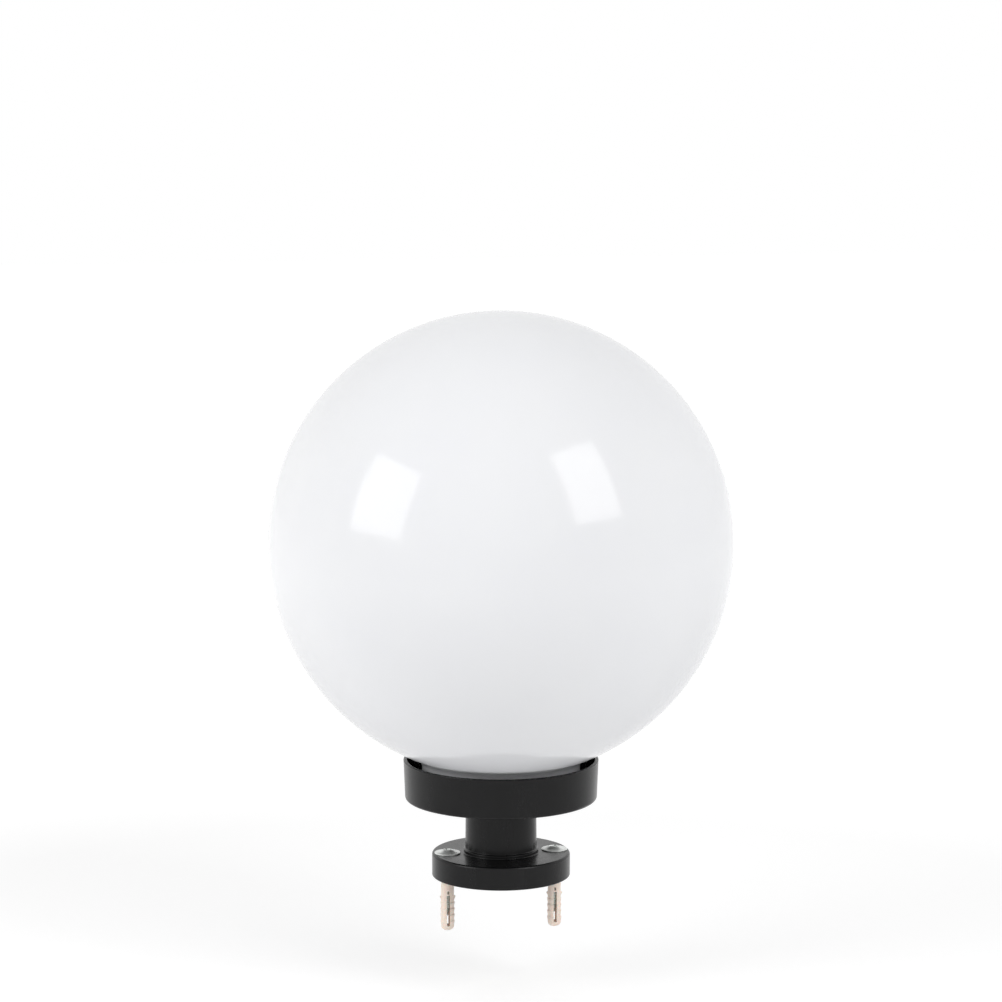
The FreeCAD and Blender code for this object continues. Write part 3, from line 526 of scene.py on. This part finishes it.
def upright_screws(node, sizes):
    """The pair of screws of a node whose heads point up, one on each side along Y."""
    low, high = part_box(node)
    head = sizes["head"]
    rows = machine_screw(head, high.z, sizes["rise"], low.z, sizes["core"], sizes["crest"])
    middle = (low.x + high.x) / 2
    return [skin(rows + np.array([middle, y, 0])) for y in (low.y + head, high.y - head)]


def terminal_pair(sizes):
    """The clamp screws of the two terminals, whose heads point away from each other along X.

    A screw drawn about Z is laid over by a quarter turn about Y: its height becomes X.
    """
    low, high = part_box("terminal_screws")
    head, tip = (high.z - low.z) / 2, -sizes["rise"] - sizes["length"]
    rows = machine_screw(head, 0, sizes["rise"], tip, sizes["core"], sizes["crest"])
    x, y, z = rows[..., 0], rows[..., 1], rows[..., 2]
    middle = np.array([0, 0, (low.z + high.z) / 2])
    right = np.stack([z + high.x, y, -x], axis=-1) + middle
    left = np.stack([low.x - z, y, x], axis=-1) + middle
    return [skin(right), skin(left)]


dress(["holder_bracket"], zinc)
for name, screws, node in (
    ("bracket_ear_screws", upright_screws("cup_screws", EAR_SCREW), "cup_screws"),
    ("porcelain_screws", upright_screws("holder_screws", PORCELAIN_SCREW), "holder_screws"),
    ("clamp_screws", terminal_pair(CLAMP_SCREW), "terminal_screws"),
):
    piece(name, screws, zinc, "fitter", node)


# ---- Lamp holder ------------------------------------------------------------------------------
# Porcelain, pressed and glazed pale grey-white. The glaze is glossy and slightly wavy, with a few
# specks, and the foot that stands on the bracket is left bare.

GLAZE = (0.74, 0.755, 0.73, 1)
GLAZE_POOL = (0.66, 0.68, 0.65, 1)
SPECK = (0.30, 0.28, 0.25, 1)
BARE_FOOT = 0.0012
GLAZE_EDGE = 0.0004
POOL_SIZE = 0.006
SPECK_SIZE = 0.0009
GLAZE_WAVE = 0.0025
GLAZE_RELIEF = 0.00005

porcelain = finish("glazed_porcelain")
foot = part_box("lamp_holder")[0].z
glazed = porcelain.height().above(foot + BARE_FOOT, GLAZE_EDGE)
pools = porcelain.noise(POOL_SIZE, 3).above(0.5, 0.5)
specks = porcelain.noise(SPECK_SIZE, 1).above(0.75, 0.03)
wave = porcelain.noise(GLAZE_WAVE, 2)
tone = porcelain.mix(pools, GLAZE, GLAZE_POOL)
porcelain.surface(
    {
        "Base Color": porcelain.mix(0.8 * specks, tone, SPECK),
        "Roughness": 0.62 - 0.30 * glazed + 0.05 * wave,
        "Coat Weight": 0.9 * glazed,
        "Coat Roughness": 0.07,
        "Normal": porcelain.bump(wave, GLAZE_RELIEF),
        "Subsurface Weight": 0.15,
        "Subsurface Radius": (1.0, 0.9, 0.8),
        "Subsurface Scale": 0.001,
    }
)
dress(["lamp_holder"], porcelain)


# ---- Screw shell ------------------------------------------------------------------------------
# Thin nickelled steel. The round E27 thread is rolled into the sheet, so it shows inside and out,
# above a plain narrower foot, and a tab at the foot takes the rivet.

NICKEL = (0.66, 0.63, 0.57, 1)
NICKEL_DULL = (0.48, 0.45, 0.40, 1)
NICKEL_CLOUD = 0.003
NICKEL_RING = 0.0002
NICKEL_RELIEF = 0.000006
SHEET = 0.0004
LIP = 0.0012
FOOT_STEP = 0.0004
FOOT_HEIGHT = 0.0062
CAP_PITCH = 0.00363
CAP_DEPTH = 0.0008
CAP_RUN_IN = 0.001  # heights over which the thread starts and runs out
CAP_RUN_OUT = 0.0015
TAB_START = 0.0066
TAB_END = 0.0122
TAB_WIDTH = 0.0060
TAB_SHEET = 0.0005
SHELL_SIDES = 120
SHELL_ROWS = 150


def rolled_shell():
    """A sheet profile carried round the axis: up the inside, round the lip and down the outside.

    The thread takes a cosine wave of the height in pitches, less the angle in turns, off the
    radius of the bore. The outside follows the bore at the sheet's thickness.
    """
    low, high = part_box("screw_shell")
    bore = (high.x - low.x) / 2 - LIP - SHEET
    start, end = low.z + FOOT_HEIGHT, high.z - SHEET
    height = np.linspace(low.z, high.z, SHELL_ROWS)[:, None]
    run_in = np.clip((height - start) / CAP_RUN_IN, 0, 1)
    run_out = np.clip((end - height) / CAP_RUN_OUT, 0, 1)
    wave = 0.5 - 0.5 * np.cos(2 * np.pi * height / CAP_PITCH - turns(SHELL_SIDES))
    threaded = bore - CAP_DEPTH * wave * run_in * run_out
    inside = np.where(height < start, bore - FOOT_STEP, threaded)
    lip_radius = np.full((2, 1), bore + SHEET + LIP)
    lip_height = np.array([[high.z], [end]])
    outside_height = np.minimum(height, end)
    rows = lathe(
        [
            (inside, height),
            (lip_radius, lip_height),
            (inside[::-1] + SHEET, outside_height[::-1]),
        ],
        SHELL_SIDES,
    )
    return skin(rows + np.array([(low.x + high.x) / 2, 0, 0]), closed=True)


def shell_tab():
    """The flat tab at the foot of the shell, under its rivet: one outline at two heights."""
    low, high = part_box("screw_shell")
    middle, half = (low.x + high.x) / 2, TAB_WIDTH / 2
    near, far = middle + TAB_START, middle + TAB_END
    outline = np.array([[near, -half], [far, -half], [far, half], [near, half]])
    rows = [np.column_stack([outline, np.full(4, low.z + lift)]) for lift in (0, TAB_SHEET)]
    return skin(np.stack(rows))


nickel = finish("nickelled_steel")
film = nickel.noise(NICKEL_CLOUD, 3)
draw = nickel.noise(NICKEL_RING, 1, stretch=(20, 20, 1))
nickel.surface(
    {
        "Base Color": nickel.mix(film.above(0.52, 0.3), NICKEL, NICKEL_DULL),
        "Metallic": 1.0,
        "Roughness": 0.22 + 0.18 * film,
        "Normal": nickel.bump(draw, NICKEL_RELIEF),
    }
)
shells = [rolled_shell(), shell_tab()]
piece("threaded_shell", shells, nickel, "fitter", "screw_shell")


# ---- Contacts and terminals -------------------------------------------------------------------
# The leaf that touches the lamp's tip, the rivets, and the blocks that clamp the wires are pressed
# and cut from brass strip. Their rolled grain runs along the strip.

strip_brass = brass_finish("strip_brass", 0.0, (60, 1, 8))
dress(["centre_contact", "contact_rivets", "live_terminal", "neutral_terminal"], strip_brass)


# ---- Ball -------------------------------------------------------------------------------------
# Opal acrylic, blown as one ball with its waisted neck and beaded lip. The skin is clear and
# glossy over a milky body that spreads the light, and blowing leaves long shallow waves in it.

OPAL = (0.855, 0.863, 0.893, 1)
OPAL_THICK = (0.885, 0.892, 0.912, 1)
THICK_CLOUD = 0.07
RIPPLE = 0.045
RIPPLE_DEPTH = 0.00025

opal = finish("opal_acrylic")
thickness = opal.noise(THICK_CLOUD, 2).above(0.5, 0.6)
ripple = opal.noise(RIPPLE, 1)
opal.surface(
    {
        "Base Color": opal.mix(thickness, OPAL, OPAL_THICK),
        "Roughness": 0.10 + 0.04 * thickness,
        "Normal": opal.bump(ripple, RIPPLE_DEPTH),
        "Specular IOR Level": 0.3,
        "Subsurface Weight": 0.3,
        "Subsurface Radius": (1.0, 1.0, 1.05),
        "Subsurface Scale": 0.004,
    }
)
dress(["globe"], opal)


# ---- Studio -----------------------------------------------------------------------------------
# A plain pale floor just below the drawn wall plugs, an even white surround, and a soft lamp to
# each side, placed where the ball shows them.

WHITE = (1, 1, 1, 1)
FLOOR_GAP = 0.004
FLOOR_SIZE = 8.0
FLOOR_TONE = (0.92, 0.92, 0.92, 1)
FLOOR_WHITE = 1.7
WHITE_NEAR = 0.27  # share of plain white near the post
WHITE_GAIN = 0.23  # what is added to it far away
SHADE_REACH = 0.7  # how far from the post the floor still takes the shadow
SHADE_EDGE = 0.6
SURROUND_LIGHT = 0.57
BALL_CENTRE = (0, 0, 0.30)
LEFT_LAMP = {"toward": (-0.84, 0.26, 0.48), "away": 1.5, "size": (0.80, 0.85), "power": 8.8}
RIGHT_LAMP = {"toward": (0.66, 0.40, 0.64), "away": 1.6, "size": (0.70, 1.00), "power": 9.6}


def seen_by(tree, names):
    """1 for the kinds of ray that are named, 0 for the others: the highest of their flags."""
    rays = [tree.node("ShaderNodeLightPath", {}, {}, name) for name in names]
    total = rays[0]
    for ray in rays[1:]:
        total = total.maths("MAXIMUM", total, ray)
    return total


def studio_floor():
    """A level sheet; rays from the camera see part of it as plain white, the rest takes shadow.

    The white part grows away from the post, where the lamps hardly reach.
    """
    drop = max(j["range_m"][1] for j in frame["joints"] if j["name"].endswith("plug_drop"))
    level = cad_box[0].z - drop - FLOOR_GAP
    half = FLOOR_SIZE / 2
    outline = [(-half, -half), (half, -half), (half, half), (-half, half)]
    mesh = bpy.data.meshes.new("studio_floor")
    mesh.from_pydata([(x, y, level) for x, y in outline], [], [(0, 1, 2, 3)])
    sheet = finish("floor_sheet")
    diffuse = sheet.node("ShaderNodeBsdfDiffuse", {}, {"Color": FLOOR_TONE})
    white = sheet.node("ShaderNodeEmission", {}, {"Color": WHITE, "Strength": FLOOR_WHITE})
    away = sheet.node("ShaderNodeVectorMath", {"operation": "LENGTH"}, {0: sheet.place()}, "Value")
    share = WHITE_NEAR + WHITE_GAIN * away.above(SHADE_REACH, SHADE_EDGE)
    seen = seen_by(sheet, ["Is Camera Ray", "Is Glossy Ray", "Is Transmission Ray"])
    sheet.show(sheet.node("ShaderNodeMixShader", {}, {0: share * seen, 1: diffuse, 2: white}))
    mesh.materials.append(sheet.holder)
    floor = bpy.data.objects.new("studio_floor", mesh)
    bpy.context.scene.collection.objects.link(floor)


def surround():
    """White where it is seen or mirrored, and a plain level of light for the rest."""
    world = bpy.data.worlds.new("surround")
    bpy.context.scene.world = world
    tree = Finish(world, "ShaderNodeOutputWorld")
    light = tree.node("ShaderNodeBackground", {}, {"Color": WHITE, "Strength": SURROUND_LIGHT})
    white = tree.node("ShaderNodeBackground", {}, {"Color": WHITE, "Strength": 1.0})
    seen = seen_by(tree, ["Is Camera Ray", "Is Glossy Ray", "Is Transmission Ray"])
    tree.show(tree.node("ShaderNodeMixShader", {}, {0: seen, 1: light, 2: white}))


def aim(thing, place, target):
    """Puts a lamp or the camera at a place, looking at a target, with Z up."""
    thing.location = place
    thing.rotation_euler = (target - place).to_track_quat("-Z", "Y").to_euler()
    bpy.context.scene.collection.objects.link(thing)


# The camera stands a little to the left, about two metres away, and looks slightly down.
CAMERA_AWAY = 2.177
CAMERA_TURN = math.radians(-8.5)
CAMERA_RISE = math.radians(9.0)
CAMERA_AIM = 0.20487
CAMERA_LENS = 146.2

level = math.cos(CAMERA_RISE)
across = Vector((math.cos(CAMERA_TURN), math.sin(CAMERA_TURN), 0))
back = Vector((across.y * level, -across.x * level, math.sin(CAMERA_RISE)))
over = back.cross(across)
lens = bpy.data.cameras.new("camera")
lens.lens = CAMERA_LENS
camera = bpy.data.objects.new("camera", lens)
target = Vector((0, 0, CAMERA_AIM))
aim(camera, target + back * CAMERA_AWAY, target)
bpy.context.scene.camera = camera

for name, lamp in (("left_lamp", LEFT_LAMP), ("right_lamp", RIGHT_LAMP)):
    light = bpy.data.lights.new(name, "AREA")
    light.shape = "RECTANGLE"
    light.size, light.size_y = lamp["size"]
    light.energy = lamp["power"]
    right, up, near = lamp["toward"]
    place = Vector(BALL_CENTRE) + (across * right + over * up + back * near) * lamp["away"]
    aim(bpy.data.objects.new(name, light), place, Vector(BALL_CENTRE))

studio_floor()
surround()
bpy.context.scene.view_settings.view_transform = "Standard"
